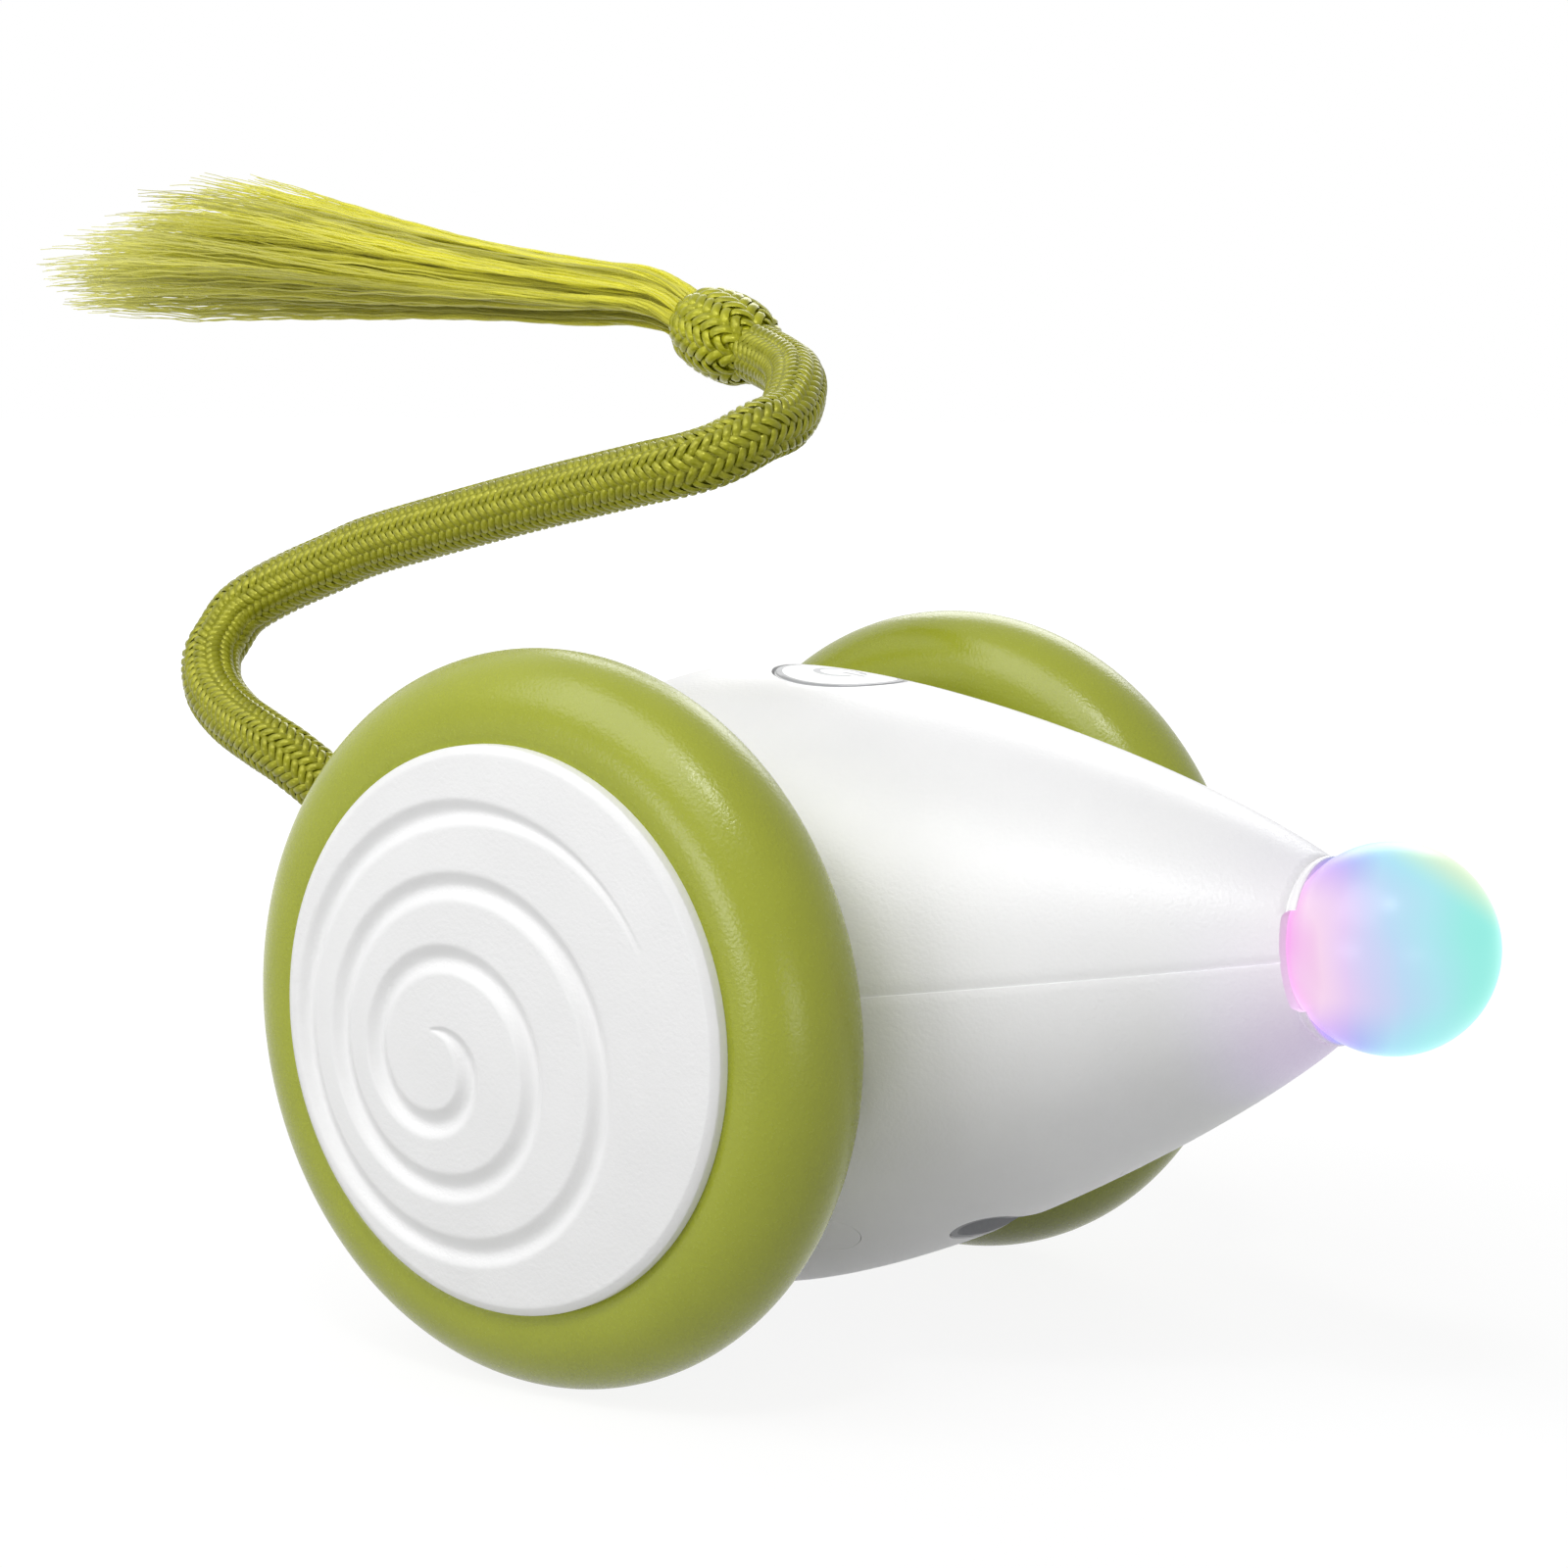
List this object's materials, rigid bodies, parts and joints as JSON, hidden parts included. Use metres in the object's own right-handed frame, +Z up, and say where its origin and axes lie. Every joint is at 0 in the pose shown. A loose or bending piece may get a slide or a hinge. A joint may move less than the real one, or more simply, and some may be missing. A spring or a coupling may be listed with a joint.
{
  "type": "robotic mouse cat toy",
  "caption": "Two-wheeled motor toy for cats: a white drop-shaped body with a lit ball nose between soft green tyres with spiral-grooved caps, and a braided tail ending in a tassel.",
  "frame": {"origin": "middle of the bottom of the box round the mouse without its tail, on the floor", "axes": "+X towards the nose, +Y towards the left wheel along the axle, +Z up"},
  "size_m": [0.1517, 0.0666, 0.0918],
  "materials": {
    "shell_white": "satin moulded",
    "button_white": "satin moulded",
    "wheel_white": "satin moulded",
    "tyre_green": "satin moulded rubber",
    "frame_grey": "moulded",
    "cup_grey": "matte moulded",
    "switch_black": "moulded",
    "board_green": "solder mask",
    "led_white": "clear epoxy",
    "ball_milky": "milky translucent, lit from inside",
    "steel": "nickel plated",
    "brass": "turned",
    "gear_nylon": "moulded nylon",
    "cell_foil": "foil pouch",
    "core_wire": "drawn wire",
    "braid_green": "braided polyester",
    "knot_green": "wrapped cord",
    "tassel_green": "silky filament"
  },
  "bodies": {
    "chassis": {"upper_shell": "shell_white", "lower_shell": "shell_white", "shell_screws": "steel", "screw_plugs": "shell_white", "mode_switch": "switch_black", "main_board": "board_green", "drive_frame": "frame_grey", "left_motor": "steel", "right_motor": "steel", "left_bush": "brass", "right_bush": "brass", "battery": "cell_foil", "ballast": "steel", "charge_board": "board_green", "charge_socket": "steel", "port_cup": "cup_grey", "led_board": "board_green", "nose_led": "led_white", "nose_ball": "ball_milky", "tail_ferrule": "shell_white", "tail_core": "core_wire", "tail_braid": "braid_green", "tail_knot": "knot_green", "tail_tassel": "tassel_green"},
    "button": {"mode_button": "button_white"},
    "left_wheel": {"left_axle": "steel", "left_gear": "gear_nylon", "left_hub": "wheel_white", "left_tyre": "tyre_green", "left_cap": "wheel_white", "left_wheel_screw": "steel"},
    "left_pinion_shaft": {"left_pinion": "brass"},
    "right_wheel": {"right_axle": "steel", "right_gear": "gear_nylon", "right_hub": "wheel_white", "right_tyre": "tyre_green", "right_cap": "wheel_white", "right_wheel_screw": "steel"},
    "right_pinion_shaft": {"right_pinion": "brass"}
  },
  "joints": [
    {"name": "left_wheel_spin", "type": "hinge", "parent": "chassis", "child": "left_wheel", "pos_m": [-0.01728, 0, 0.027], "axis": [0, 1, 0], "continuous": true},
    {"name": "left_pinion_spin", "type": "hinge", "parent": "chassis", "child": "left_pinion_shaft", "pos_m": [-0.02717, 0, 0.0202], "axis": [0, 1, 0], "continuous": true},
    {"name": "right_wheel_spin", "type": "hinge", "parent": "chassis", "child": "right_wheel", "pos_m": [-0.01728, 0, 0.027], "axis": [0, 1, 0], "continuous": true},
    {"name": "right_pinion_spin", "type": "hinge", "parent": "chassis", "child": "right_pinion_shaft", "pos_m": [-0.02717, 0, 0.0202], "axis": [0, 1, 0], "continuous": true},
    {"name": "button_press", "type": "slide", "parent": "chassis", "child": "button", "axis": [-0.0913, 0, -0.9958], "range_m": [0, 0.0004], "stiffness_N_per_m": 400}
  ],
  "couplings": [
    {"joint": "left_pinion_spin", "follows": "left_wheel_spin", "ratio": -3},
    {"joint": "right_pinion_spin", "follows": "right_wheel_spin", "ratio": -3}
  ]
}
